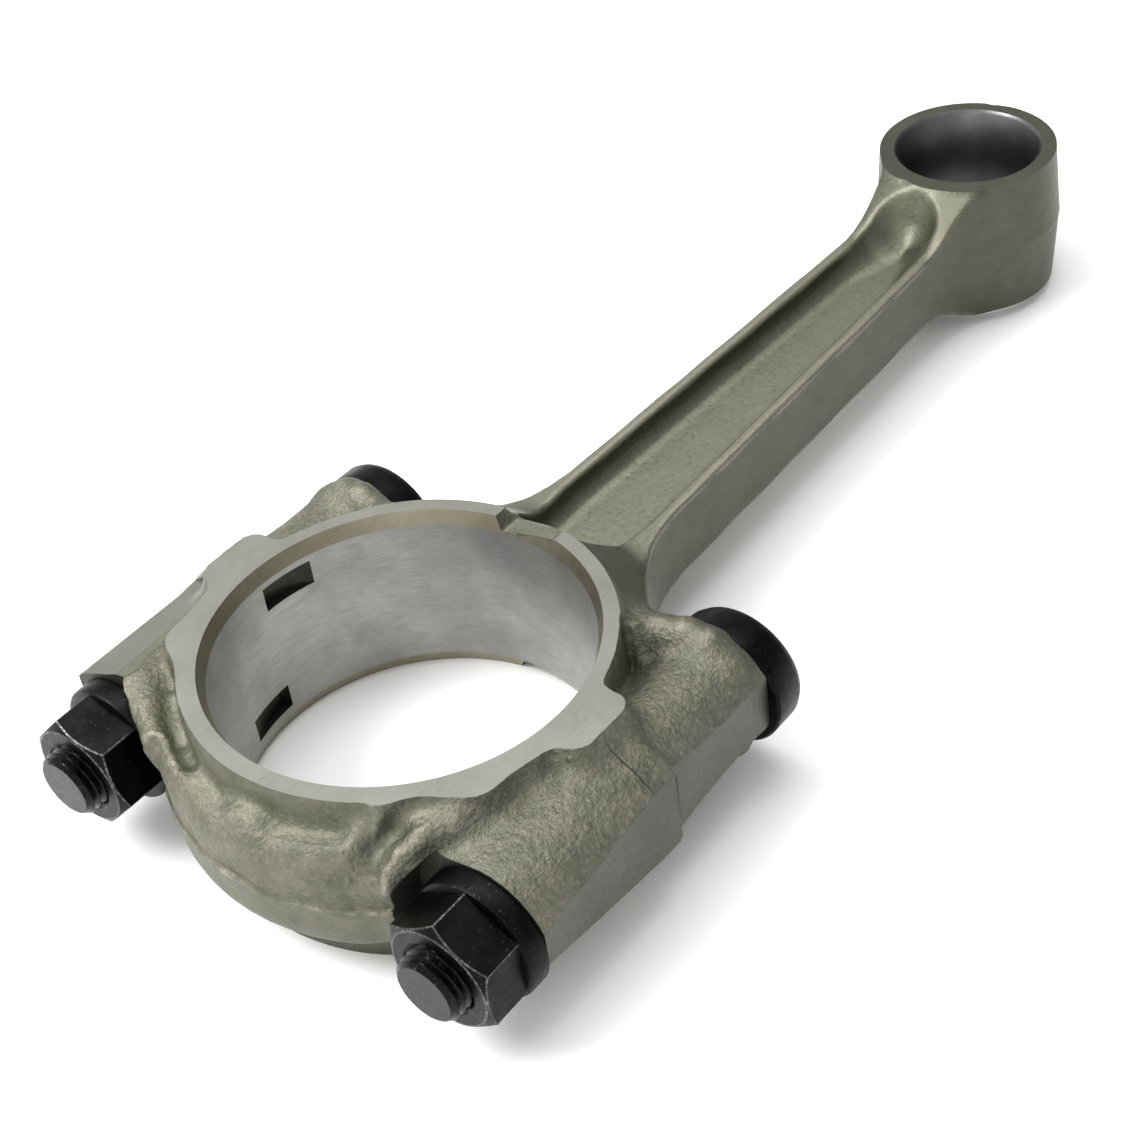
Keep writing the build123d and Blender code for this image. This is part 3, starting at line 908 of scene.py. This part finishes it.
def pale_world(dark, light, bright_side, strength):
    """Background that goes from dark to light towards its bright side."""
    world = bpy.data.worlds.new("studio")
    bpy.context.scene.world = world
    world.use_nodes = True
    tree = world.node_tree
    along = tree.nodes.new("ShaderNodeVectorMath")
    along.operation = "DOT_PRODUCT"
    along.inputs[1].default_value = bright_side.normalized()
    tree.links.new(tree.nodes.new("ShaderNodeTexCoord").outputs["Generated"], along.inputs[0])
    spread = tree.nodes.new("ShaderNodeMapRange")
    spread.inputs["From Min"].default_value = -0.9
    spread.inputs["From Max"].default_value = 0.8
    tree.links.new(along.outputs["Value"], spread.inputs["Value"])
    fall = tree.nodes.new("ShaderNodeValToRGB")
    for stop, color in zip(fall.color_ramp.elements, (dark, light)):
        stop.color = color
    tree.links.new(spread.outputs[0], fall.inputs[0])
    background = tree.nodes["Background"].inputs
    tree.links.new(fall.outputs[0], background["Color"])
    background["Strength"].default_value = strength


def pale_floor(x_lo, x_hi, y_lo, y_hi, z):
    """Matt floor under the ring's lower face."""
    material = bpy.data.materials.new("pale_floor")
    material.use_nodes = True
    shader = material.node_tree.nodes["Principled BSDF"]
    shader.inputs["Base Color"].default_value = (0.9, 0.9, 0.9, 1.0)
    shader.inputs["Roughness"].default_value = 0.6
    corners = [(x_lo, y_lo, z), (x_hi, y_lo, z), (x_hi, y_hi, z), (x_lo, y_hi, z)]
    floor = new_object("studio_floor", corners, [(0, 1, 2, 3)], material, smooth=False)


def place_camera(place, forward, right, lens):
    """Camera at a place in metres, along forward, with right made square to it."""
    data = bpy.data.cameras.new("camera")
    data.sensor_width = 36.0
    data.lens = lens
    data.clip_start = 0.01
    data.clip_end = 10.0
    forward = forward.normalized()
    right = (right - forward * right.dot(forward)).normalized()
    turned = Matrix((right, right.cross(forward), -forward)).transposed()
    camera = bpy.data.objects.new("camera", data)
    camera.matrix_world = Matrix.Translation(place) @ turned.to_4x4()
    bpy.context.scene.collection.objects.link(camera)
    bpy.context.scene.camera = camera


area_light("key_softbox", (-0.3, 0.3, 0.48), (0.04, 0.0, 0.0), (0.34, 0.28), 4.4)
area_light("top_softbox", (0.12, 0.05, 0.6), (0.04, 0.0, 0.0), (0.5, 0.3), 2.2)
area_light("front_softbox", (-0.45, -0.25, 0.3), (0.0, 0.0, 0.0), (0.3, 0.2), 0.4)
pale_world(
    dark=(0.26, 0.26, 0.27, 1.0),
    light=(1.0, 1.0, 0.99, 1.0),
    bright_side=Vector((-0.8, 0.4, 0.42)),
    strength=1.2,
)
pale_floor(-900, 1100, -900, 900, -RING_Z)
place_camera(
    place=(-0.12669, -0.14812, 0.18025),
    forward=Vector((0.5621, 0.5243, -0.6396)),
    right=Vector((0.6073, -0.7867, -0.1112)),
    lens=66.54,
)
bpy.context.scene.view_settings.view_transform = "Standard"
